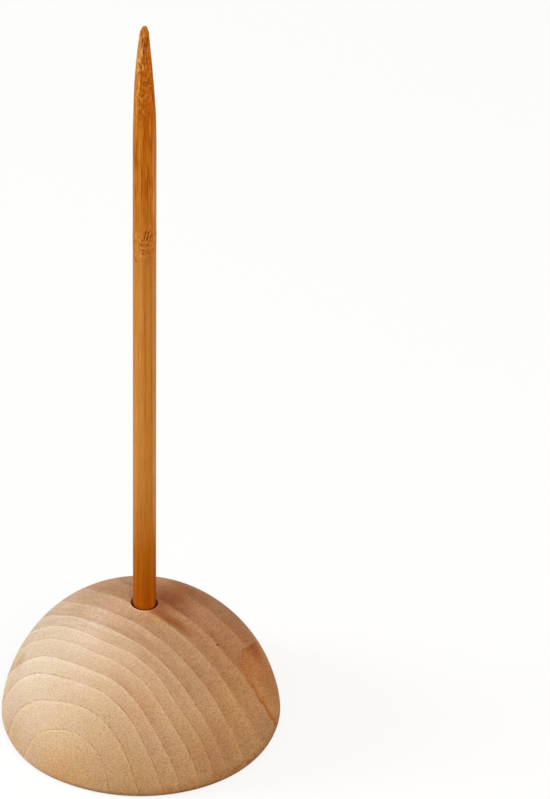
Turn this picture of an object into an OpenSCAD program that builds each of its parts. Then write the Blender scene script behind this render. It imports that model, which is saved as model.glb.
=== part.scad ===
// Bill spike: a turned wooden half ball with a pointed bamboo stick standing in a blind socket at its top.
// Millimetres, +Z up. The origin is the centre of the flat underside, on the table.

/* [Base] */
// Diameter of the ball that the base is half of
base_d = 70; // [50:1:100]
// Height of the ball's centre, where the base is widest, above the table
belly_h = 0; // [0:0.1:6]
// Radius of the rounded edge between the ball and the flat underside
foot_r = 2; // [0.5:0.1:6]

/* [Socket] */
// Sideways shift of the socket from the middle of the base, to the right seen from the front
socket_shift = 1; // [-3:0.1:3]
// Shift of the socket from the middle of the base towards the back
socket_back = 0.4; // [-3:0.1:3]
// Wood left between the socket's floor and the underside
socket_floor = 6; // [2:0.5:15]
// Gap between the spike and the snug lower part of the socket, on the radius
socket_gap = 0.1; // [0.05:0.01:0.3]
// Gap between the spike and the wider mouth of the socket, on the radius
mouth_gap = 0.4; // [0.3:0.05:1]
// Depth of the wider mouth below the top of the ball
mouth_depth = 5; // [2:0.5:10]
// Width of the broken edge round the mouth
mouth_edge = 0.25; // [0.1:0.05:0.6]

/* [Spike] */
// Diameter of the bamboo stick
spike_d = 5.8; // [4:0.1:8]
// Length of the stick from its heel to its tip
spike_len = 200; // [120:1:300]
// Length of the sharpened point
point_len = 35; // [15:1:60]
// Radius of the blunt nose at the very tip
nose_r = 1; // [0.4:0.1:1.6]
// Broken edge round the heel of the stick
heel_edge = 0.5; // [0.2:0.1:1]

/* [Hidden] */
$fn = 96;

// The cuts start this far outside the solid that they cut
past = 1;

base_r = base_d / 2;
base_h = belly_h + base_r;

// The foot's arc is tangent to the table and to the inside of the ball
foot_x = sqrt(pow(base_r - foot_r, 2) - pow(foot_r - belly_h, 2));
foot_top = foot_r + foot_r * (foot_r - belly_h) / (base_r - foot_r);

spike_r = spike_d / 2;
socket_r = spike_r + socket_gap;
mouth_r = spike_r + mouth_gap;

// Height of the ball's surface at the mouth's edge
mouth_top = belly_h + sqrt(pow(base_r, 2) - pow(mouth_r, 2));

// The point is an arc, tangent to the shaft at its shoulder and to the nose
nose_rise = point_len - nose_r;
point_arc = (pow(nose_rise, 2) / (spike_r - nose_r) + spike_r + nose_r) / 2;
// The arc is a small part of a large circle, so its circle has a side for each millimetre
point_sides = ceil(2 * PI * point_arc);
shoulder_z = spike_len - point_len;
nose_z = spike_len - nose_r;
// Where the point's arc passes into the nose
nose_lean = asin(nose_rise / (point_arc - nose_r));
nose_start = nose_z + nose_r * sin(nose_lean);

// Half of the base's section: the ball down to the foot, and the foot's arc down to the table
module base_section() {
    intersection() {
        translate([0, belly_h]) circle(r = base_r);
        translate([0, foot_top]) square([base_r, base_h - foot_top]);
    }
    square([foot_x, foot_top]);
    intersection() {
        translate([foot_x, foot_r]) circle(r = foot_r);
        translate([foot_x, 0]) square([foot_r, foot_top]);
    }
}

// The drilled hole: a snug bore, a wider mouth and a broken edge where the mouth meets the ball
module socket_cut() {
    translate([socket_shift, socket_back, 0]) {
        translate([0, 0, socket_floor]) cylinder(r = socket_r, h = base_h - socket_floor + past);
        translate([0, 0, base_h - mouth_depth]) cylinder(r = mouth_r, h = mouth_depth + past);
        translate([0, 0, mouth_top - mouth_edge])
            cylinder(r1 = mouth_r, r2 = mouth_r + mouth_edge + past, h = mouth_edge + past);
    }
}

// Turned half ball of pale hardwood, flat underneath
module base() {
    color("burlywood") difference() {
        rotate_extrude() base_section();
        socket_cut();
    }
}

// Half of the stick's section: heel, shaft, sharpened point and blunt nose
module spike_section() {
    polygon([
        [0, 0],
        [spike_r - heel_edge, 0],
        [spike_r, heel_edge],
        [spike_r, shoulder_z],
        [0, shoulder_z]
    ]);
    intersection() {
        translate([spike_r - point_arc, shoulder_z]) circle(r = point_arc, $fn = point_sides);
        translate([0, shoulder_z]) square([spike_r, nose_start - shoulder_z]);
    }
    intersection() {
        translate([0, nose_z]) circle(r = nose_r);
        translate([0, nose_start]) square([nose_r, spike_len - nose_start]);
    }
}

// Bamboo stick, standing on the socket's floor
module spike() {
    color("peru") translate([socket_shift, socket_back, socket_floor])
        rotate_extrude() spike_section();
}

base();
spike();
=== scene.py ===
import math
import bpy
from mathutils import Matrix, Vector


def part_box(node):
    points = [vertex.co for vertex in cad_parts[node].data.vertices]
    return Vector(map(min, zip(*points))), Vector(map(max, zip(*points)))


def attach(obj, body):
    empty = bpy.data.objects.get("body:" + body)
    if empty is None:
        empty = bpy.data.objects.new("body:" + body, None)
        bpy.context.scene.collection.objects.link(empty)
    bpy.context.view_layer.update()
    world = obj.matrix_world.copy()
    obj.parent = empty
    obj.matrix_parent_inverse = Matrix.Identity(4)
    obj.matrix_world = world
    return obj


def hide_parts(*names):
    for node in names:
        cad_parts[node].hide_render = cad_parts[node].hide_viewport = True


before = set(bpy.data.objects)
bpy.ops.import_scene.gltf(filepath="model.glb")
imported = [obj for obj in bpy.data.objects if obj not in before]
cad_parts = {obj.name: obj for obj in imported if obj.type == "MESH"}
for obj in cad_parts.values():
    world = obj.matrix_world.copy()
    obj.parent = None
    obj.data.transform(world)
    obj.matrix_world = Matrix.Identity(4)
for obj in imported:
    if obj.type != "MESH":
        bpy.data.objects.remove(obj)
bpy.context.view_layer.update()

from types import SimpleNamespace

import bpy
import numpy as np

# Base
# A half ball of pale hardwood, turned and then sanded by hand, bare of varnish. Its front is end grain, so
# the growth rings show as arcs round a pith that lies just outside, low on the left. A blind hole is drilled
# down from its top.

MM = 0.001
ball_r = 35 * MM
foot_r = 2 * MM

spike_low, spike_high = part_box("spike")
spike_r = (spike_high.y - spike_low.y) / 2
socket_x = (spike_low.x + spike_high.x) / 2
socket_y = (spike_low.y + spike_high.y) / 2
socket_floor = spike_low.z
socket_gap = 0.1 * MM
mouth_gap = 0.4 * MM
mouth_r = spike_r + mouth_gap
mouth_depth = 5 * MM
mouth_edge = 0.25 * MM


def closed_skin(name, rows):
    """A closed surface through rows of points, an array of rows by columns by xyz. The columns join up round
    the piece, and the first and last rows are single points, the poles. Each cell is one quad, and a fan of
    triangles closes each pole. Counter-clockwise columns with rows that climb the outside face outwards."""
    count, around = rows.shape[:2]
    first, last = rows[0].mean(0), rows[-1].mean(0)
    points = np.concatenate([rows[1:-1].reshape(-1, 3), first[None], last[None]])
    index = np.arange((count - 2) * around).reshape(count - 2, around)
    across = np.roll(index, -1, axis=1)
    quads = np.stack([index[:-1], across[:-1], across[1:], index[1:]], -1).reshape(-1, 4)
    low_pole, high_pole = len(points) - 2, len(points) - 1
    low_fan = np.stack([np.full(around, low_pole), across[0], index[0]], -1)
    high_fan = np.stack([np.full(around, high_pole), index[-1], across[-1]], -1)
    sharp_angle = math.radians(35)
    mesh = bpy.data.meshes.new(name)
    mesh.from_pydata(points.tolist(), [], quads.tolist() + low_fan.tolist() + high_fan.tolist())
    mesh.polygons.foreach_set("use_smooth", np.ones(len(mesh.polygons), bool))
    mesh.set_sharp_from_angle(angle=sharp_angle)
    piece = bpy.data.objects.new(name, mesh)
    bpy.context.scene.collection.objects.link(piece)
    return piece


def span(start, end, count):
    """Evenly spaced values from start up to, but not including, end."""
    return np.linspace(start, end, count, endpoint=False)


def eased(share):
    """A smooth rise, level at both ends: 0 for a share up to 0, and 1 for a share from 1 on."""
    share = np.clip(share, 0, 1)
    return share * share * (3 - 2 * share)


def sanded(points):
    """How far sanding by hand has left the ball high or low at some points: a sum of broad smooth bumps,
    each with its direction from the ball's centre, its reach in degrees and its height in mm."""
    bumps = (
        ((-0.85, 0.3, 0.43), 24, -0.35), ((0.64, 0.44, 0.63), 22, -0.22), ((0.99, 0.05, 0.1), 10, 0.22),
        ((-0.74, -0.66, 0.1), 16, 0.42), ((0.66, -0.74, 0.1), 20, 0.2),
    )
    least = 1e-9
    length = np.maximum(np.linalg.norm(points, axis=-1), least)
    total = np.zeros(points.shape[:-1])
    for direction, reach, height in bumps:
        cosine = points @ (np.array(direction) / np.linalg.norm(direction)) / length
        angle = np.degrees(np.arccos(np.clip(cosine, -1, 1)))
        total += height * MM * np.exp(-(angle / reach) ** 2)
    return total


def base_rows(around=256):
    """The base's rows from the middle of its underside, round the foot, up the ball and down into the
    socket. A row is a circle in plan with its own middle, radius and height. On the ball the height at each
    point follows from the plan, so that the circles can move from the ball's axis to the socket's without
    leaving the ball."""
    under_rows, foot_rows, ball_rows = 24, 12, 110
    mouth_rows, bore_rows, floor_rows = 10, 24, 6
    foot_x = math.sqrt((ball_r - foot_r) ** 2 - foot_r ** 2)
    foot_lean = math.asin(foot_r / (ball_r - foot_r))
    rim_r = mouth_r + mouth_edge
    move_within = math.radians(50)
    turn = span(0, 2 * math.pi, around)

    under = span(0, foot_x, under_rows)
    foot = span(-math.pi / 2, foot_lean, foot_rows)
    foot_end = under_rows + foot_rows
    ball = np.linspace(math.pi / 2 - foot_lean, math.asin(rim_r / ball_r), ball_rows)
    radius = np.concatenate([under, foot_x + foot_r * np.cos(foot), ball_r * np.sin(ball)])[:, None]
    moved = np.concatenate([np.zeros(foot_end), eased(1 - ball / move_within)])[:, None]
    x = socket_x * moved + radius * np.cos(turn)
    y = socket_y * moved + radius * np.sin(turn)
    height = np.sqrt(np.maximum(ball_r ** 2 - x * x - y * y, 0))
    height[:under_rows] = 0
    height[under_rows:foot_end] = (foot_r + foot_r * np.sin(foot))[:, None]
    outside = np.stack([x, y, height], -1)
    outside *= 1 + sanded(outside)[..., None] / ball_r

    rim_top = math.sqrt(ball_r ** 2 - rim_r ** 2)
    mouth_floor = ball_r - mouth_depth
    bore_r = spike_r + socket_gap
    mouth_z = np.linspace(rim_top - mouth_edge, mouth_floor, mouth_rows)
    bore_z = np.linspace(mouth_floor, socket_floor, bore_rows)
    wall = np.concatenate([
        np.stack([np.full(mouth_rows, mouth_r), mouth_z], -1),
        np.stack([np.full(bore_rows, bore_r), bore_z], -1),
        np.stack([span(bore_r, 0, floor_rows)[1:], np.full(floor_rows - 1, socket_floor)], -1),
        [[0, socket_floor]],
    ])
    inside = np.stack([
        socket_x + wall[:, :1] * np.cos(turn),
        socket_y + wall[:, :1] * np.sin(turn),
        np.broadcast_to(wall[:, 1:], (len(wall), around)),
    ], -1)
    return np.concatenate([outside, inside])


base = closed_skin("turned_base", base_rows())


def add_node(tree, kind, inputs=(), **settings):
    """A shader node with its settings, and its inputs set to values or linked from other nodes' outputs."""
    node = tree.nodes.new(kind)
    for key, value in settings.items():
        setattr(node, key, value)
    for key, value in dict(inputs).items():
        if isinstance(value, bpy.types.NodeSocket):
            tree.links.new(value, node.inputs[key])
        else:
            node.inputs[key].default_value = value
    return node


def math_of(tree, operation, *values):
    """One arithmetic step on one to three values."""
    return add_node(tree, "ShaderNodeMath", enumerate(values), operation=operation).outputs[0]


def times(tree, product, *others):
    """The product of two or more values."""
    for other in others:
        product = math_of(tree, "MULTIPLY", product, other)
    return product


def times_plus(tree, value, factor, more):
    """A value times a factor, plus another value."""
    return math_of(tree, "MULTIPLY_ADD", value, factor, more)


def less(tree, value, other):
    """A value less another one."""
    return math_of(tree, "SUBTRACT", value, other)


def length_of(tree, x, y):
    """The length of a line with these two sides."""
    return math_of(tree, "SQRT", times_plus(tree, x, x, times(tree, y, y)))


def dot(tree, vector, direction):
    """How far a vector reaches along a direction."""
    node = add_node(tree, "ShaderNodeVectorMath", {0: vector, 1: direction}, operation="DOT_PRODUCT")
    return node.outputs["Value"]


def point_at(tree, x, y, z):
    """A vector from three numbers."""
    return add_node(tree, "ShaderNodeCombineXYZ", {0: x, 1: y, 2: z}).outputs[0]


def noise_at(tree, vector, scale, detail=2.0, roughness=0.5):
    """Smooth noise from 0 to 1 round a mean of a half, at a place in millimetres."""
    settings = {"Vector": vector, "Scale": scale, "Detail": detail, "Roughness": roughness}
    return add_node(tree, "ShaderNodeTexNoise", settings).outputs[0]


def step_of(tree, value, none, full):
    """A smooth step from 0, where the value is none, to 1, where it is full, which may be the lower one."""
    settings = {0: value, 1: none, 2: full}
    return add_node(tree, "ShaderNodeMapRange", settings, interpolation_type="SMOOTHSTEP").outputs[0]


def band_of(tree, value, start, full, ebb, end):
    """1 between full and ebb, with a smooth step up to it from start and down from it to end."""
    return times(tree, step_of(tree, value, start, full), step_of(tree, value, end, ebb))


def near_spot(tree, place, spot, reach, core=1):
    """1 within a core round a spot, fading smoothly to 0 at its reach."""
    node = add_node(tree, "ShaderNodeVectorMath", {0: place, 1: spot}, operation="DISTANCE")
    return step_of(tree, node.outputs["Value"], reach, core)


def ramp_of(tree, value, stops):
    """A colour or grey for a value from 0 to 1, through stops of (place, colour)."""
    node = add_node(tree, "ShaderNodeValToRGB", {0: value})
    elements = node.color_ramp.elements
    while len(elements) < len(stops):
        elements.new(0.5)
    for element, (place, colour) in zip(elements, stops):
        element.position = place
        element.color = (*colour, 1)
    return node.outputs[0]


def curve_of(tree, value, points):
    """A number for a value from 0 to 1, through straight lines between the points."""
    node = add_node(tree, "ShaderNodeFloatCurve", {"Value": value})
    curve = node.mapping.curves[0]
    while len(curve.points) < len(points):
        curve.points.new(0.5, 0.5)
    for knot, place in zip(curve.points, points):
        knot.location = place
        knot.handle_type = "VECTOR"
    node.mapping.update()
    return node.outputs[0]


def blend_of(tree, kind, amount, colour, other):
    """A colour blended in that way with another, or with a node's colours, by an amount from 0 to 1."""
    if not isinstance(other, bpy.types.NodeSocket):
        other = (*other, 1)
    inputs = {0: amount, 6: colour, 7: other}
    return add_node(tree, "ShaderNodeMix", inputs, data_type="RGBA", blend_type=kind).outputs[2]


def tinted(tree, colour, amount, tint):
    """A colour multiplied by a tint, by an amount from 0 to 1."""
    return blend_of(tree, "MULTIPLY", amount, colour, tint)


def grey(value):
    """A grey as a colour."""
    return (value, value, value)


def open_finish(name):
    """A new material, its node tree, and a place on the piece in millimetres, whole and as x, y and z."""
    material = bpy.data.materials.new(name)
    material.use_nodes = True
    tree = material.node_tree
    metres = add_node(tree, "ShaderNodeTexCoord").outputs["Object"]
    place = add_node(tree, "ShaderNodeVectorMath", {0: metres, 3: 1 / MM}, operation="SCALE").outputs[0]
    x, y, z = add_node(tree, "ShaderNodeSeparateXYZ", {0: place}).outputs
    return material, tree, SimpleNamespace(place=place, x=x, y=y, z=z)


def close_finish(material, colour, relief, strength, depth, roughness, gloss):
    """The material, once it has its colour, a relief of that strength and depth, its roughness and gloss."""
    tree = material.node_tree
    shader = tree.nodes["Principled BSDF"]
    bump = add_node(tree, "ShaderNodeBump", {"Strength": strength, "Distance": depth, "Height": relief})
    tree.links.new(colour, shader.inputs["Base Color"])
    tree.links.new(bump.outputs[0], shader.inputs["Normal"])
    shader.inputs["Roughness"].default_value = roughness
    shader.inputs["Specular IOR Level"].default_value = gloss
    return material


# Where each ring line lies from the pith, in mm, and how dark it is
rings = (
    (14.8, 0.5), (21.5, 0.6), (26.9, 0.75), (30.7, 0.55), (34.9, 0.5), (38.2, 0.4), (41.1, 0.35),
    (44.7, 0.25), (48.1, 0.12), (51.2, 0.15), (54, 0.15), (57.5, 0.15), (60.5, 0.4), (63.5, 0.3),
    (66.5, 0.4), (69.5, 0.3), (72.5, 0.4),
)
# Curves and ramps over the rings run from 0 to this distance from the pith, or to this number of rings
ring_reach = 80
ring_total = 20


def ring_grain(tree, at):
    """Where a place lies in the grown wood. Growth rings are cylinders round the pith, so the ring field is
    the distance from the pith. A wave along the ring, a slow wander, a swell above the pith, a pinch on its
    left and the serrations of the rays are added to it."""
    # The pith runs from the front to the back, turned 20 degrees to the right and dipping 30 degrees
    turn, dip = math.radians(20), math.radians(30)
    along = np.array([math.sin(turn) * math.cos(dip), math.cos(turn) * math.cos(dip), -math.sin(dip)])
    right = np.array([1, 0, 0]) - along[0] * along
    right = right / np.linalg.norm(right)
    up = np.cross(right, along)
    pith_right, pith_up = -13.0, -15.0
    grain = SimpleNamespace()
    grain.right = less(tree, dot(tree, at.place, right), pith_right)
    grain.up = less(tree, dot(tree, at.place, up), pith_up)
    grain.along = dot(tree, at.place, along)
    grain.distance = length_of(tree, grain.right, grain.up)
    cosine = math_of(tree, "DIVIDE", grain.right, grain.distance)
    grain.sine = math_of(tree, "DIVIDE", grain.up, grain.distance)

    # The wave dies out in the outer rings, and on the side of the pith that faces away from its crest
    wave_height, wave_length, wave_crest = 0.45, 27.5, math.radians(52)
    angle = math_of(tree, "ARCTAN2", grain.up, grain.right)
    grain.arc = times(tree, less(tree, angle, wave_crest), grain.distance)
    facing = times_plus(tree, cosine, math.cos(wave_crest), times(tree, grain.sine, math.sin(wave_crest)))
    wave = math_of(tree, "COSINE", times(tree, grain.arc, 2 * math.pi / wave_length))
    wave = times(tree, wave, step_of(tree, facing, -0.3, 0.5), step_of(tree, grain.distance, 43, 38))
    field = times_plus(tree, wave, -wave_height, grain.distance)
    wander_width = 0.5
    wander = less(tree, noise_at(tree, at.place, 0.16), 0.5)
    field = times_plus(tree, wander, wander_width, field)

    # Above the pith a ring moves in by 1.2 mm less twice its swell, which goes by its distance from the pith
    swells = ((12, 0.2), (15, 0.25), (24, 0.75), (28, 0.9), (35, 0.95), (41, 0.6), (45, 0.2), (48, 0))
    swells = [(distance / ring_reach, swell) for distance, swell in swells]
    swell = curve_of(tree, math_of(tree, "DIVIDE", grain.distance, ring_reach), swells)
    above = step_of(tree, angle, math.radians(45), math.radians(100))
    field = times_plus(tree, times_plus(tree, swell, -2, 1.2), above, field)

    # On the left of the pith the inner rings are pinched in
    pinch_depth = 2.6
    on_left = step_of(tree, angle, math.radians(96), math.radians(148))
    pinch = times(tree, on_left, step_of(tree, grain.distance, 33, 16))
    field = times_plus(tree, pinch, pinch_depth, field)

    # Rays fan out from the pith, cross the outer rings and serrate their edges
    ray_fan, ray_jag = 180, 0.6
    ray_depth = times_plus(tree, grain.distance, 0.45, times(tree, grain.along, 0.2))
    ray_place = point_at(tree, times(tree, cosine, ray_fan), times(tree, grain.sine, ray_fan), ray_depth)
    grain.rays = noise_at(tree, ray_place, 1.0, 1)
    grain.ray_show = step_of(tree, grain.distance, 36, 50)
    jag = times(tree, less(tree, grain.rays, 0.5), grain.ray_show)
    grain.field = times_plus(tree, jag, ray_jag, field)

    # Away from the wave's crest, in the outer rings and low on the right, the rings blur into one another
    grain.even = step_of(tree, facing, 0.97, 0.75)
    grain.soft = step_of(tree, grain.distance, 40, 50)
    grain.low_right = step_of(tree, dot(tree, at.place, (0.9, 0, -1)), -2, 14)
    return grain


def count_rings(tree, grain):
    """Adds to the grain which ring a place lies in, and how far after the ring's line. A curve through the
    ring lines turns the ring field into a count, whose fraction runs from one line to the next."""
    lines = [line for line, _ in rings]
    steps = [(line / ring_reach, (number + 1) / ring_total) for number, line in enumerate(lines)]
    widths = np.diff([0] + lines + [ring_reach])
    widths = [(number / ring_total, width / ring_reach) for number, width in enumerate(widths)]
    grain.share = math_of(tree, "DIVIDE", grain.field, ring_reach)
    count = times(tree, curve_of(tree, grain.share, [(0, 0)] + steps + [(1, 1)]), ring_total)
    grain.within = math_of(tree, "FRACT", count)
    grain.ring = math_of(tree, "FLOOR", count)
    width = curve_of(tree, math_of(tree, "DIVIDE", grain.ring, ring_total), widths)
    grain.width = times(tree, width, ring_reach)
    grain.after = times(tree, grain.within, grain.width)


def ring_tones(tree, at, grain):
    """Each ring's own tone, by its number, darker and redder away from the pith. Where the rings blur, the
    number runs on smoothly from one ring to the next. A pale crest closes each ring, and painted light makes
    the wood paler and bluer towards the top and the left, and deeper in colour towards the foot on the right."""
    crossing = times_plus(tree, grain.low_right, 1.4, times_plus(tree, grain.soft, 0.6, 0.2))
    crossed = step_of(tree, grain.after, 0, crossing)
    blurred = less(tree, math_of(tree, "ADD", grain.within, 0.5), crossed)
    blurred = times(tree, blurred, grain.even, grain.soft)
    number = math_of(tree, "ADD", grain.ring, math_of(tree, "ADD", crossed, blurred))
    # The first tone belongs to the first ring above the pith, and to about the second ring beside it
    upright = step_of(tree, grain.sine, 0.3, 0.9)
    number = less(tree, number, times_plus(tree, upright, -1.2, 2.2))
    tones = (
        (0.82, 0.595, 0.375), (0.81, 0.60, 0.40), (0.81, 0.60, 0.41), (0.80, 0.585, 0.40),
        (0.76, 0.54, 0.355), (0.77, 0.545, 0.365), (0.735, 0.515, 0.34), (0.715, 0.475, 0.30),
        (0.695, 0.445, 0.275), (0.64, 0.36, 0.20), (0.65, 0.37, 0.215), (0.64, 0.365, 0.22),
        (0.66, 0.38, 0.22), (0.65, 0.37, 0.215),
    )
    tones = [(place / ring_total, tone) for place, tone in enumerate(tones)]
    colour = ramp_of(tree, math_of(tree, "DIVIDE", number, ring_total), tones)
    heart = ramp_of(tree, grain.share, ((0.03, (1.02, 0.88, 0.72)), (0.14, grey(1))))
    colour = tinted(tree, colour, 1.0, heart)
    crest = step_of(tree, less(tree, grain.width, grain.after), 1.3, 0.2)
    colour = tinted(tree, colour, crest, (1.07, 1.08, 1.1))
    # Painted light and shade: the wood is paler and bluer towards the top and the left, where the lamp and
    # the white surround light it, and deeper in colour towards the foot on the right
    climb_reach = 42
    climb = math_of(tree, "DIVIDE", dot(tree, at.place, (-0.8, 0, 1)), climb_reach)
    return tinted(tree, colour, 1.0, ramp_of(tree, climb, (
        (0, (1, 0.92, 0.76)), (0.38, (1, 0.985, 0.94)), (0.7, (0.985, 1, 1)),
        (0.86, (1.03, 1.1, 1.2)), (0.93, (1.045, 1.14, 1.27)), (1, (1.07, 1.24, 1.47)),
    )))


def ring_shade(tree, at, grain):
    """How dark the wood is within its ring, from 0 up: a thin broken line where the ring begins, and a shade
    that fades across the ring's width. Both are blotchy, and weaker low on the right and high on the left."""
    depths = [(line / ring_reach, dark) for line, dark in rings]
    line_depth = curve_of(tree, grain.share, [(0, 0.15)] + depths + [(1, 0.7)])
    line_width = times_plus(tree, grain.soft, 0.6, 0.4)
    broken = noise_at(tree, point_at(tree, grain.arc, grain.ring, grain.along), 0.9, 1)
    broken = math_of(tree, "ADD", step_of(tree, broken, 0.4, 0.65), 0.5)
    line = times(tree, step_of(tree, grain.after, line_width, 0), broken)
    line = times(tree, line, times_plus(tree, grain.low_right, -0.7, 1))

    shade = ramp_of(tree, grain.within, (
        (0, grey(0.9)), (0.25, grey(0.95)), (0.5, grey(0.45)), (0.92, grey(0)), (1, grey(0.5)),
    ))
    shade = times(tree, shade, times_plus(tree, grain.even, -0.35, 1))
    shade_depth = ramp_of(tree, grain.share, (
        (0.2, grey(0.1)), (0.34, grey(0.22)), (0.39, grey(0.42)), (0.43, grey(0.24)), (0.48, grey(0.24)),
        (0.52, grey(0.42)), (0.58, grey(0.42)), (0.62, grey(0.42)), (0.68, grey(0.35)),
    ))
    # Two spots in front of the hole where the shade is stronger, each with its reach
    for spot, reach in (((9.4, -4.9, 33.3), 6), ((-4.8, -9.1, 33.5), 7)):
        shade_depth = times_plus(tree, near_spot(tree, at.place, spot, reach), 0.35, shade_depth)
    dark = times_plus(tree, line_depth, line, times(tree, shade_depth, shade))

    blotch = noise_at(tree, point_at(tree, grain.arc, times(tree, grain.field, 2), grain.along), 0.22)
    high_left = times(tree, step_of(tree, at.x, 2, -10), step_of(tree, at.z, 18, 26))
    dark = times(tree, dark, times_plus(tree, blotch, 1.8, 0.1))
    dark = times(tree, dark, times_plus(tree, grain.low_right, -0.4, 1))
    return times(tree, dark, times_plus(tree, high_left, -0.35, 1))


def patches_and_painted_shade(tree, at, grain, colour):
    """The colour with soft darker patches, each with its spot, reach and tint, two of which are painted
    shade, and with an orange streak along the ring in front of the hole."""
    patches_and_shade = (
        # On the right of the hole, the stick's shadow painted over darker wood, and a darker patch in front
        # of it
        ((7.0, 3.2, 34.1), 9, (0.66, 0.43, 0.28)), ((4.0, -5.0, 34.4), 6, (0.93, 0.86, 0.7)),
        # Behind the hole: on the right, painted shade on the far side that turns from the light; on the left,
        # a darker patch
        ((11, 10, 31.5), 10.5, (0.8, 0.62, 0.4)), ((-12, 5, 32), 11, (0.88, 0.84, 0.76)),
        # Low on the right, and in the middle of the front
        ((18.5, -27.5, 9.5), 13, (0.86, 0.79, 0.77)), ((1, -27, 22), 7, (0.98, 0.9, 0.85)),
        # On the left edge, and on the left by the foot
        ((-30.5, -1, 17.5), 4, (0.9, 0.82, 0.66)), ((-32, -13.4, 4), 8, (0.92, 0.86, 0.83)),
    )
    for spot, reach, tint in patches_and_shade:
        colour = tinted(tree, colour, near_spot(tree, at.place, spot, reach), tint)
    streak_spot, streak_reach, streak_core = (7.6, -5.2, 33.8), 8, 2
    streak = near_spot(tree, at.place, streak_spot, streak_reach, streak_core)
    streak = times(tree, streak, band_of(tree, grain.field, 48, 48.6, 49.4, 50.2))
    return tinted(tree, colour, streak, (0.84, 0.68, 0.52))


def side_stain(tree, at, colour):
    """The colour with a stain on the right side, orange within and browner along its edge, and how far the
    stain hides the rings. It spreads from 0 in its middle to 1 at its ragged edge, as a sum of powers of how
    far back and how high a place is."""
    middle_back, middle_height, reach, rise, power = 2.0, 9.0, 14.5, 13.0, 2.5
    back = math_of(tree, "ABSOLUTE", math_of(tree, "DIVIDE", less(tree, at.y, middle_back), reach))
    high = less(tree, dot(tree, at.place, (0, 0.5, 1)), middle_height)
    high = math_of(tree, "ABSOLUTE", math_of(tree, "DIVIDE", high, rise))
    ragged = times(tree, less(tree, noise_at(tree, at.place, 0.4, 3), 0.5), 0.5)
    spread = math_of(tree, "ADD", math_of(tree, "POWER", back, power), math_of(tree, "POWER", high, power))
    spread = math_of(tree, "ADD", spread, ragged)
    stained = step_of(tree, spread, 1, 0.85)
    on_right = step_of(tree, at.x, 15, 22)
    colour = tinted(tree, colour, on_right, ramp_of(tree, spread, (
        (0, (0.95, 0.8, 0.58)), (0.3, (1.02, 0.93, 0.72)), (0.55, (1.05, 0.98, 0.77)),
        (0.8, (0.96, 0.81, 0.58)), (0.9, (0.88, 0.69, 0.47)), (0.98, grey(1)),
    )))
    # It is darkest in a cap at its top, and along the front of its edge
    cap_spot, cap_reach = (28.6, 0.8, 20.2), 7
    cap = times(tree, near_spot(tree, at.place, cap_spot, cap_reach), stained)
    colour = tinted(tree, colour, cap, (0.72, 0.5, 0.32))
    edge = times(tree, band_of(tree, spread, 0.7, 0.88, 0.94, 1.02), on_right)
    edge = times(tree, edge, step_of(tree, at.z, 21, 17), step_of(tree, at.y, 8, -4))
    colour = tinted(tree, colour, edge, (0.86, 0.66, 0.45))
    return colour, times(tree, on_right, stained)


def scuffed_and_shaded_foot(tree, at, colour):
    """The colour with a pinhole on the right, and with a foot that is painted darker towards the right as
    shade by the table, and scuffed there."""
    pin_spot, pin_r = (19.2, -8.3, 28.1), 0.5
    pin = near_spot(tree, at.place, pin_spot, pin_r, pin_r / 2)
    colour = tinted(tree, colour, pin, (0.35, 0.2, 0.14))
    # Painted shade: low by the table the foot is darker towards the right, away from the lamp
    foot_shade = times(tree, step_of(tree, at.z, 4.5, 0.5), step_of(tree, at.x, -16, 15))
    colour = tinted(tree, colour, foot_shade, (0.76, 0.63, 0.46))
    scuffs = step_of(tree, noise_at(tree, at.place, 0.5, 2), 0.5, 0.62)
    scuffs = times(tree, scuffs, step_of(tree, at.z, 5.5, 2.5), step_of(tree, at.x, 0, 12))
    return tinted(tree, colour, scuffs, (0.9, 0.72, 0.5))


def mouth_shade_and_highlight(tree, at, colour):
    """The colour with the wall of the hole painted dark red-brown as the shade in the gap round the stick,
    and a painted highlight on the front edge of its mouth. The underside, below the hole's floor, is left
    out."""
    off_x = less(tree, at.x, socket_x / MM)
    off_y = less(tree, at.y, socket_y / MM)
    off_axis = length_of(tree, off_x, off_y)
    mouth = mouth_r / MM
    floor = socket_floor / MM
    above_floor = step_of(tree, at.z, floor - 1, floor)
    # Painted shade: the wall of the hole is dark red-brown, as the shaded gap round the stick looks
    hole_shade = times(tree, step_of(tree, off_axis, mouth + 0.08, mouth + 0.03), above_floor)
    colour = tinted(tree, colour, hole_shade, (0.55, 0.25, 0.12))
    # Painted highlight: the front edge of the mouth is paler, as where it catches the light
    rim_highlight = times(tree, step_of(tree, off_axis, mouth + 0.8, mouth + 0.45), less(tree, 1, hole_shade))
    rim_highlight = times(tree, rim_highlight, step_of(tree, off_y, -0.8, -2.8), above_floor)
    return tinted(tree, colour, rim_highlight, (1.4, 1.31, 1.37))


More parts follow.
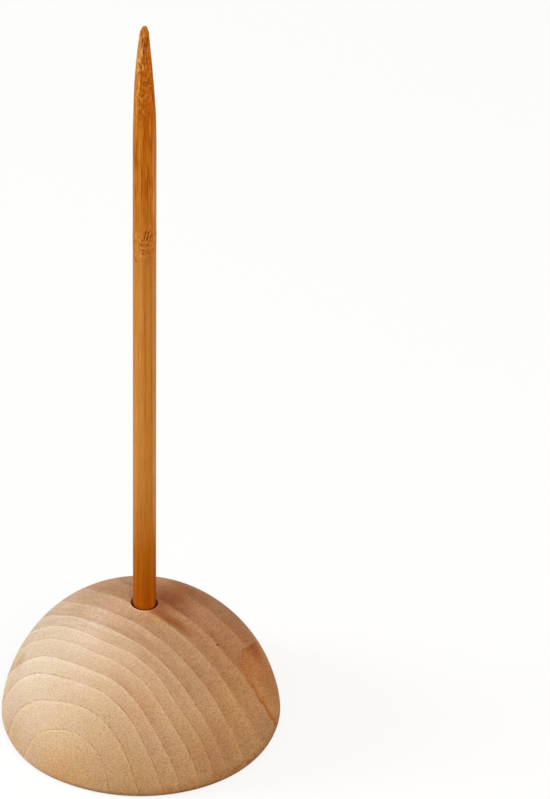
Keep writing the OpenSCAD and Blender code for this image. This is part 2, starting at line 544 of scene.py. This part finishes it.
def fine_grain(tree, at, grain, colour):
    """The colour with broad clouds and blushes, streaks along the rings, pores along the pith and rays across
    the rings, and the pores alone. Towards the foot and the right, where the wood is coarse, the pores are
    stronger and the streaks fainter."""
    cloud = noise_at(tree, at.place, 0.06, 3)
    colour = tinted(tree, colour, 1.0, ramp_of(tree, cloud, (
        (0.3, (0.95, 0.93, 0.91)), (0.7, (1.05, 1.06, 1.08)),
    )))
    blush = noise_at(tree, point_at(tree, grain.arc, grain.field, grain.along), 0.16, 2)
    colour = tinted(tree, colour, 1.0, ramp_of(tree, blush, (
        (0.35, (1, 1.01, 0.95)), (0.65, (1.01, 0.98, 1)),
    )))
    coarse = step_of(tree, times_plus(tree, at.x, -0.5, at.z), 40, 0)
    draw_out = 0.12
    streak_arc, streak_along = times(tree, grain.arc, draw_out), times(tree, grain.along, draw_out)
    streak_place = point_at(tree, streak_arc, times(tree, grain.field, 1.5), streak_along)
    streaks = noise_at(tree, streak_place, 1.0, 2)
    streaked = times(tree, times_plus(tree, coarse, -0.8, 1), step_of(tree, grain.distance, 30, 44))
    colour = tinted(tree, colour, streaked, ramp_of(tree, streaks, (
        (0.3, (0.9, 0.86, 0.82)), (0.5, grey(1)), (0.7, (1.06, 1.07, 1.08)),
    )))
    pore_place = point_at(tree, grain.right, grain.up, times(tree, grain.along, 0.6))
    pores = noise_at(tree, pore_place, 2.7, 3, 0.65)
    colour = tinted(tree, colour, times_plus(tree, coarse, 0.5, 0.5), ramp_of(tree, pores, (
        (0.28, (0.64, 0.52, 0.38)), (0.5, grey(1)), (0.72, (1.2, 1.31, 1.5)),
    )))
    colour = tinted(tree, colour, grain.ray_show, ramp_of(tree, grain.rays, (
        (0.3, (0.88, 0.84, 0.82)), (0.5, grey(1)), (0.7, (1.08, 1.1, 1.12)),
    )))
    return colour, pores


def base_wood():
    """Pale hardwood: rings with their tones and lines, then darker patches with painted shade, the stain, the
    foot's painted shade and scuffs, the mouth's painted shade and highlight, and a fine grain whose pores
    also give the relief."""
    material, tree, at = open_finish("base_wood")
    grain = ring_grain(tree, at)
    count_rings(tree, grain)
    colour = ring_tones(tree, at, grain)
    colour = patches_and_painted_shade(tree, at, grain, colour)
    colour, hidden = side_stain(tree, at, colour)
    dark = times(tree, ring_shade(tree, at, grain), less(tree, 1, hidden))
    colour = tinted(tree, colour, dark, (0.66, 0.54, 0.45))
    colour = scuffed_and_shaded_foot(tree, at, colour)
    colour = mouth_shade_and_highlight(tree, at, colour)
    colour, pores = fine_grain(tree, at, grain, colour)
    return close_finish(material, colour, pores, strength=0.15, depth=0.05 * MM, roughness=0.65, gloss=0.15)


base.data.materials.append(base_wood())
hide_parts("base")
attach(base, "base")

# Spike
# A round stick of darkened bamboo, split, rounded and sharpened by hand, with one node two thirds of the
# way up. Its heel stands on the floor of the socket, and the snug lower bore holds it upright.

point_len = 35 * MM
nose_r = 1 * MM
heel_edge = 0.5 * MM
node_height = 146.2 * MM


def spike_rows(around=96):
    """The stick's rows from the middle of its heel to its tip. The point is an arc that leaves the shaft
    tangentially, so its radius falls about with the square of the height above the shoulder. Six shallow
    knife facets fade in up the point, which leans a little to the left, and slanting cuts take off the sides
    of the tip. The node is a low double ridge."""
    turn = span(0, 2 * math.pi, around)
    length = spike_high.z - spike_low.z
    rise = point_len - nose_r
    arc = (rise ** 2 / (spike_r - nose_r) + spike_r + nose_r) / 2
    nose_lean = math.asin(rise / (arc - nose_r))
    nose_start = length - nose_r + nose_r * math.sin(nose_lean)
    shoulder = length - point_len
    node_z = node_height - spike_low.z
    node_reach = 4 * MM

    heel_rows, low_rows, node_rows, high_rows, point_rows, nose_rows = 5, 120, 48, 30, 90, 16
    heel = np.stack([np.linspace(0, spike_r - heel_edge, heel_rows), np.zeros(heel_rows)], -1)
    shaft_z = np.concatenate([
        span(heel_edge, node_z - node_reach, low_rows),
        span(node_z - node_reach, node_z + node_reach, node_rows),
        np.linspace(node_z + node_reach, shoulder, high_rows),
    ])
    shaft = np.stack([np.full(len(shaft_z), spike_r), shaft_z], -1)
    point_z = np.linspace(shoulder, nose_start, point_rows)[1:]
    point = np.stack([spike_r - arc + np.sqrt(arc ** 2 - (point_z - shoulder) ** 2), point_z], -1)
    swing = np.linspace(nose_lean, math.pi / 2, nose_rows)[1:]
    nose = np.stack([nose_r * np.cos(swing), length - nose_r + nose_r * np.sin(swing)], -1)
    outline = np.concatenate([heel, shaft, point, nose])
    radius, height = outline[:, :1], outline[:, 1:]

    facet_count, facet_depth, facet_turn = 6, 0.02, 0.7
    sharpened = np.clip((height - shoulder) / point_len, 0, 1)
    radius = radius * (1 + facet_depth * sharpened * np.cos(facet_count * turn + facet_turn))
    # The ridges of the node wander up and down: how far below the node each is, how high and how wide
    node_wander = 0.5 * MM * np.sin(turn) + 0.25 * MM * np.sin(3 * turn + 1)
    for drop, ridge_height, ridge_width in ((0, 0.04 * MM, 0.7 * MM), (2.4 * MM, 0.025 * MM, 0.8 * MM)):
        off_ridge = height - node_z - node_wander + drop
        radius = radius + ridge_height * np.exp(-(off_ridge / ridge_width) ** 2)

    x = radius * np.cos(turn)
    y = radius * np.sin(turn)
    z = np.broadcast_to(height, x.shape)
    # Each cut has its place across the very tip and its slope outwards below that: two left, one right
    below = length - z
    for cut, slope in ((0.1 * MM, 0.95), (-0.55 * MM, 0.3)):
        x = np.maximum(x, cut - slope * below)
    right_cut, right_slope = 0.25 * MM, 0.5
    x = np.minimum(x, right_cut + right_slope * below)
    # The point leans from a fifth of its length up, and comes back to the axis at the tip
    lean = 0.16 * MM
    x = x - lean * eased((sharpened - 0.2) / 0.45) * np.clip((1 - sharpened) / 0.15, 0, 1)
    return np.stack([socket_x + x, socket_y + y, spike_low.z + z], -1)


spike = closed_skin("bamboo_spike", spike_rows())

# Marks that stand out on the front, each with its start and end as (x, height), half width and strength.
# Dark ones: slashes, a crescent and dashes at the node, a nick below it, thin cracks, and cuts on the point
dark_marks = (
    ((0.88, 145.9), (1.45, 149), 0.27, 1), ((1.47, 145.4), (2.03, 148.7), 0.27, 1),
    ((1.48, 145.4), (1.7, 146.9), 0.3, 0.4), ((2.15, 145.2), (2.6, 147.3), 0.24, 0.8),
    ((0.0, 146.6), (0.4, 145.4), 0.25, 0.8), ((0.75, 146.2), (0.35, 145.5), 0.22, 0.7),
    ((0.28, 144.1), (0.3, 144.8), 0.5, 0.7), ((1.83, 143.9), (1.83, 144.6), 0.55, 0.6),
    ((0.4, 142.7), (0.4, 143.2), 0.7, 0.7), ((0.62, 141.7), (0.62, 142.6), 0.35, 0.4),
    ((2.08, 141.6), (2.08, 142.6), 0.4, 0.5), ((-1.75, 140.5), (-0.8, 138.8), 0.25, 0.9),
    ((2.66, 140), (2.72, 98), 0.22, 0.4), ((2.72, 114), (2.74, 56), 0.22, 0.35),
    ((2.38, 160), (2.4, 151), 0.22, 0.5), ((3.1, 36), (3.15, 62), 0.2, 0.4),
    ((0.92, 200.7), (1, 202.8), 0.24, 1), ((0.73, 198.6), (0.75, 200.5), 0.2, 0.9),
    ((1.45, 196), (1.47, 198.6), 0.25, 0.6), ((0.13, 194.7), (0.13, 196), 0.35, 0.8),
    ((0.61, 190.1), (0.66, 192.1), 0.22, 0.6), ((1.45, 183.8), (1.48, 187.4), 0.25, 0.5),
)
# Light ones: between the marks of the node, and flecks on the point
light_marks = (
    ((1.18, 146.2), (1.62, 148), 0.17, 0.6), ((-0.3, 145.7), (-0.25, 146.3), 0.55, 0.6),
    ((1.3, 145), (1.1, 145.7), 0.9, 0.35), ((0.37, 143.3), (0.37, 143.9), 0.75, 0.7),
    ((-1.2, 145.5), (-1, 147.5), 0.3, 0.4), ((2.36, 149.1), (2.46, 150.8), 0.3, 0.4),
    ((1.33, 191.6), (1.33, 192.2), 0.2, 0.7), ((1.35, 187.4), (1.38, 188.2), 0.2, 0.6),
    ((0.68, 183), (0.68, 183.8), 0.2, 0.6), ((-0.1, 192.8), (-0.06, 193.7), 0.2, 0.5),
    ((0.1, 186.2), (0.06, 187.3), 0.22, 0.6), ((2.45, 186.3), (2.5, 187.4), 0.2, 0.4),
    ((-0.12, 183.6), (-0.1, 184.7), 0.22, 0.5), ((-0.22, 189.7), (-0.22, 190.7), 0.25, 0.5),
)
# Cream ones: chips that the knife has left near the tip
cream_marks = (
    ((0.73, 203.4), (0.73, 204.5), 0.28, 0.6), ((0.22, 198.3), (0.28, 200.8), 0.25, 1),
    ((-0.06, 196.6), (0.08, 198.7), 0.35, 0.4), ((0.78, 195.2), (0.35, 196.4), 0.2, 0.8),
    ((0.35, 194.5), (0.75, 195.7), 0.2, 0.8), ((-0.75, 193.9), (-0.2, 195.1), 0.2, 0.6),
)


def stroke(tree, at, start, end, width):
    """1 along a short straight mark, from start to end as (x, height) in mm, else 0. The mark fades over its
    outer half and at its two ends."""
    slope = (end[0] - start[0]) / (end[1] - start[1])
    middle = times_plus(tree, at.z, slope, start[0] - slope * start[1])
    beside = math_of(tree, "ABSOLUTE", less(tree, at.x, middle))
    beyond = math_of(tree, "ABSOLUTE", less(tree, at.z, (start[1] + end[1]) / 2))
    half = abs(end[1] - start[1]) / 2
    return times(tree, step_of(tree, beside, width, width / 2), step_of(tree, beyond, half, half * 0.6))


def marked(tree, at, colour):
    """The colour with the dark, light and cream marks on the stick's front."""
    front = step_of(tree, at.y, 0.4, -0.4)
    for marks, kind, tint in (
        (dark_marks, "MULTIPLY", (0.6, 0.4, 0.16)),
        (light_marks, "MIX", (0.98, 0.46, 0.12)),
        (cream_marks, "MIX", (1, 0.62, 0.26)),
    ):
        for start, end, width, strength in marks:
            mark = times(tree, stroke(tree, at, start, end, width), front, strength)
            colour = blend_of(tree, kind, mark, colour, tint)
    return colour


def bamboo_fibres(tree, at, near_node):
    """The stick's colour, and its fine fibres alone. The colour goes by zones up the stick. Fibre bundles run
    its length, so the pattern across it is drawn out along Z, finely and broadly, and they swerve near the
    node."""
    swerve_width = 3
    swerve = less(tree, noise_at(tree, at.place, 0.35, 1), 0.5)
    side = math_of(tree, "ADD", at.x, times(tree, swerve, near_node, swerve_width))

    def fibres(draw_out, *texture):
        """Noise across the stick, whose heights are multiplied by a small factor to draw it out."""
        return noise_at(tree, point_at(tree, side, at.y, times(tree, at.z, draw_out)), *texture)

    zone_reach = 210
    colour = ramp_of(tree, math_of(tree, "DIVIDE", at.z, zone_reach), (
        (0.16, (0.50, 0.12, 0.002)), (0.21, (0.56, 0.16, 0.004)), (0.25, (0.62, 0.2, 0.012)),
        (0.28, (0.73, 0.275, 0.036)), (0.36, (0.84, 0.375, 0.076)), (0.62, (0.84, 0.37, 0.074)),
        (0.72, (0.75, 0.265, 0.03)), (0.9, (0.74, 0.26, 0.023)), (0.97, (0.69, 0.265, 0.034)),
    ))
    colour = tinted(tree, colour, 1.0, ramp_of(tree, fibres(0.012, 0.9, 2), (
        (0.3, (0.84, 0.74, 0.6)), (0.5, grey(1)), (0.7, (1.08, 1.16, 1.4)),
    )))
    upper = step_of(tree, at.z, 148, 157)
    fine = fibres(0.03, 4.0, 2, 0.6)
    colour = tinted(tree, colour, times_plus(tree, upper, 0.3, 0.7), ramp_of(tree, fine, (
        (0.3, (0.8, 0.7, 0.55)), (0.5, grey(1)), (0.7, (1.1, 1.15, 1.25)),
    )))
    colour = tinted(tree, colour, upper, ramp_of(tree, fibres(0.045, 2.4, 2, 0.6), (
        (0.34, (0.72, 0.54, 0.3)), (0.5, grey(1)), (0.66, (1.15, 1.3, 1.7)),
    )))
    return colour, fine


def strips_and_painted_sheen(tree, at, colour):
    """The colour with the strips that run up the stick, some of them a painted reflection of the white
    surround, given as tints from its left edge, 0, to its right edge, 1."""
    across = times_plus(tree, less(tree, at.x, socket_x / MM), 0.5 * MM / spike_r, 0.5)
    # On the shaft the left edge is darker, and a painted reflection of the white surround runs up the right
    # edge as a greyer strip
    on_shaft = band_of(tree, at.z, 46, 60, 168, 186)
    colour = tinted(tree, colour, on_shaft, ramp_of(tree, across, (
        (0, (0.8, 0.8, 0.74)), (0.1, (0.89, 0.89, 0.92)), (0.3, (1.02, 1.03, 1.05)), (0.5, grey(1)),
        (0.78, (0.96, 0.95, 0.97)), (0.86, (1, 1.1, 1.6)), (0.95, (1.06, 1.46, 3)),
    )))
    # Near the hole both edges are dark, with a painted reflection as a pale strip inside the right one
    colour = tinted(tree, colour, step_of(tree, at.z, 60, 46), ramp_of(tree, across, (
        (0, (0.85, 0.85, 0.5)), (0.15, grey(1)), (0.3, (1.05, 1.07, 1.1)), (0.5, grey(1)),
        (0.76, (0.94, 0.9, 0.9)), (0.84, (1.2, 1.2, 1.6)), (0.92, (0.9, 0.85, 0.6)), (1, (0.75, 0.6, 0.3)),
    )))
    # Above the node the core is redder, and a painted reflection runs up the right side for a while as a
    # paler strip
    colour = tinted(tree, colour, step_of(tree, at.z, 150, 162), ramp_of(tree, across, (
        (0.2, grey(1)), (0.36, (0.97, 0.88, 0.55)), (0.6, (0.97, 0.88, 0.55)), (0.76, grey(1)),
    )))
    above_node = band_of(tree, at.z, 149, 155, 168, 176)
    colour = tinted(tree, colour, above_node, ramp_of(tree, across, (
        (0.66, grey(1)), (0.76, (1.13, 1.2, 1.5)), (0.88, (1.16, 1.28, 1.6)), (0.95, (1, 1.1, 1.4)),
    )))
    # On the point the left side is painted with a bluish sheen, and the right side is redder
    sheened_point = band_of(tree, at.z, 174, 184, 199, 203)
    return tinted(tree, colour, sheened_point, ramp_of(tree, across, (
        (0.25, (1, 1.06, 1.3)), (0.45, grey(1)), (0.65, (1.02, 0.86, 0.5)), (0.8, (1, 0.84, 0.45)),
    )))


def bamboo_wear_and_shade(tree, at, near_node, colour):
    """The colour with a ring of painted shade where the stick enters the hole, flecks on the point and round
    the node, pale chips on the point, and a grey patch of painted shade on its upper left side."""
    rim = math.sqrt(ball_r ** 2 - spike_r ** 2) / MM
    # Painted shade: the stick is darkened in the gap just where it enters the hole
    gap_shade = band_of(tree, at.z, rim - 3, rim - 1, rim - 0.4, rim - 0.1)
    colour = tinted(tree, colour, gap_shade, (0.4, 0.2, 0.12))
    fleck = noise_at(tree, point_at(tree, at.x, at.y, times(tree, at.z, 0.45)), 1.9, 3, 0.6)
    flecked = math_of(tree, "MAXIMUM", step_of(tree, at.z, 172, 196), times(tree, near_node, 0.7))
    colour = tinted(tree, colour, flecked, ramp_of(tree, fleck, (
        (0.34, (0.6, 0.38, 0.2)), (0.45, (0.94, 0.87, 0.75)), (0.56, grey(1)), (0.66, (1.2, 1.7, 3.4)),
    )))
    chip = noise_at(tree, point_at(tree, at.x, at.y, times(tree, at.z, 0.4)), 2.6, 2, 0.6)
    chip = times(tree, step_of(tree, chip, 0.56, 0.68), step_of(tree, at.z, 178, 186), 0.6)
    colour = blend_of(tree, "MIX", chip, colour, (0.9, 0.46, 0.13))
    # Painted shade: a grey patch at the shadow's edge on the upper left of the tip
    tip_shade_spot, tip_shade_reach, tip_shade_core, tip_shade_strength = (-0.3, -0.5, 200.8), 2.2, 0.4, 0.5
    tip_shade = times(tree, near_spot(tree, at.place, tip_shade_spot, tip_shade_reach, tip_shade_core), tip_shade_strength)
    return blend_of(tree, "MIX", tip_shade, colour, (0.62, 0.36, 0.2))


def spike_bamboo():
    """Darkened bamboo: fibres along the stick, strips up its sides with a painted sheen, painted shade where
    it enters the hole and on the tip, flecks and marks. The fine fibres also give the relief."""
    material, tree, at = open_finish("spike_bamboo")
    scar_height, scar_reach, scar_core = node_height / MM - 2, 9, 1
    from_scar = math_of(tree, "ABSOLUTE", less(tree, at.z, scar_height))
    near_node = step_of(tree, from_scar, scar_reach, scar_core)
    colour, fine = bamboo_fibres(tree, at, near_node)
    colour = strips_and_painted_sheen(tree, at, colour)
    colour = bamboo_wear_and_shade(tree, at, near_node, colour)
    colour = marked(tree, at, colour)
    return close_finish(material, colour, fine, strength=0.3, depth=0.1 * MM, roughness=0.5, gloss=0.06)


spike.data.materials.append(spike_bamboo())
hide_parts("spike")
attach(spike, "spike")

# Camera
# A long lens 2.5 m away, 35 degrees above the table. The picture's middle row meets the base's axis 97 mm
# up, and the lens is shifted so that the axis stands left of the picture's middle.

view_distance = 2.5
view_rise = math.radians(35.16)
aim_height = 96.92 * MM
picture_w, picture_h = 550, 799
axis_column = 140.46
camera_data = bpy.data.cameras.new("camera")
camera_data.lens = 458.3
camera_data.sensor_width = 36
camera_data.shift_x = (picture_w / 2 - axis_column) / picture_h
camera_data.clip_end = 50
camera = bpy.data.objects.new("camera", camera_data)
camera_height = aim_height + view_distance * math.sin(view_rise)
camera.location = (0, -view_distance * math.cos(view_rise), camera_height)
camera.rotation_euler = (math.pi / 2 - view_rise, 0, 0)
bpy.context.scene.collection.objects.link(camera)
bpy.context.scene.camera = camera

# Table and light
# A white table top that takes a soft shadow, and a white surround. A broad lamp stands low on the left, and
# a weaker and warmer one in front, above and to the right. Both face the lower part of the object.

scene = bpy.context.scene
scene.view_settings.view_transform = "Standard"
table_half = 6.0
table_corners = [(-1, -1), (1, -1), (1, 1), (-1, 1)]
table_mesh = bpy.data.meshes.new("table")
table_mesh.from_pydata([(table_half * x, table_half * y, 0) for x, y in table_corners], [], [(0, 1, 2, 3)])
table = bpy.data.objects.new("table", table_mesh)
scene.collection.objects.link(table)


def seen_directly(tree):
    """1 for rays from the camera, a reflection or a clear piece, and 0 for light that falls on things."""
    path = add_node(tree, "ShaderNodeLightPath")
    seen = math_of(tree, "MAXIMUM", path.outputs["Is Camera Ray"], path.outputs["Is Glossy Ray"])
    return math_of(tree, "MAXIMUM", seen, path.outputs["Is Transmission Ray"])


def lit_and_seen(tree, lit, seen):
    """A shader that lights things as one shader does, and is seen as another."""
    inputs = {0: seen_directly(tree), 1: lit.outputs[0], 2: seen.outputs[0]}
    return add_node(tree, "ShaderNodeMixShader", inputs)


white = (1, 1, 1, 1)

# The table throws a dim warm light back at the object. Seen directly it glows almost white, less its shadow
table_white = bpy.data.materials.new("table_white")
table_white.use_nodes = True
tree = table_white.node_tree
tree.nodes.clear()
lit = add_node(tree, "ShaderNodeBsdfDiffuse", {"Color": (0.30, 0.19, 0.11, 1)})
paper = add_node(tree, "ShaderNodeBsdfDiffuse", {"Color": (0.26, 0.28, 0.30, 1)})
glow = add_node(tree, "ShaderNodeEmission", {"Color": white, "Strength": 0.8})
shown = add_node(tree, "ShaderNodeAddShader", {0: paper.outputs[0], 1: glow.outputs[0]})
add_node(tree, "ShaderNodeOutputMaterial", {"Surface": lit_and_seen(tree, lit, shown).outputs[0]})
table_mesh.materials.append(table_white)

# The surround fills the shadows with a warm light, and is seen as white
world = bpy.data.worlds.new("surround")
scene.world = world
world.use_nodes = True
tree = world.node_tree
tree.nodes.clear()
surround_light = add_node(tree, "ShaderNodeBackground", {"Color": (1, 0.91, 0.8, 1), "Strength": 0.32})
surround_white = add_node(tree, "ShaderNodeBackground", {"Color": white, "Strength": 1})
surround = lit_and_seen(tree, surround_light, surround_white)
add_node(tree, "ShaderNodeOutputWorld", {"Surface": surround.outputs[0]})


def soft_lamp(name, place, size, power, colour):
    """A square lamp at a place, turned to face the lower part of the object."""
    aim = (0, 0, 40 * MM)
    lamp_data = bpy.data.lights.new(name, "AREA")
    lamp_data.size = size
    lamp_data.energy = power
    lamp_data.color = colour
    lamp = bpy.data.objects.new(name, lamp_data)
    lamp.location = place
    direction = np.array(aim) - np.array(place)
    flat = math.hypot(direction[0], direction[1])
    lamp.rotation_euler = (math.atan2(flat, -direction[2]), 0, math.atan2(-direction[0], direction[1]))
    scene.collection.objects.link(lamp)


soft_lamp("key_lamp", place=(-1.25, 0.05, 0.45), size=0.6, power=10.5, colour=(0.98, 1, 1))
soft_lamp("fill_lamp", place=(0.4, -0.75, 1.0), size=0.8, power=7.5, colour=(1, 0.84, 0.66))
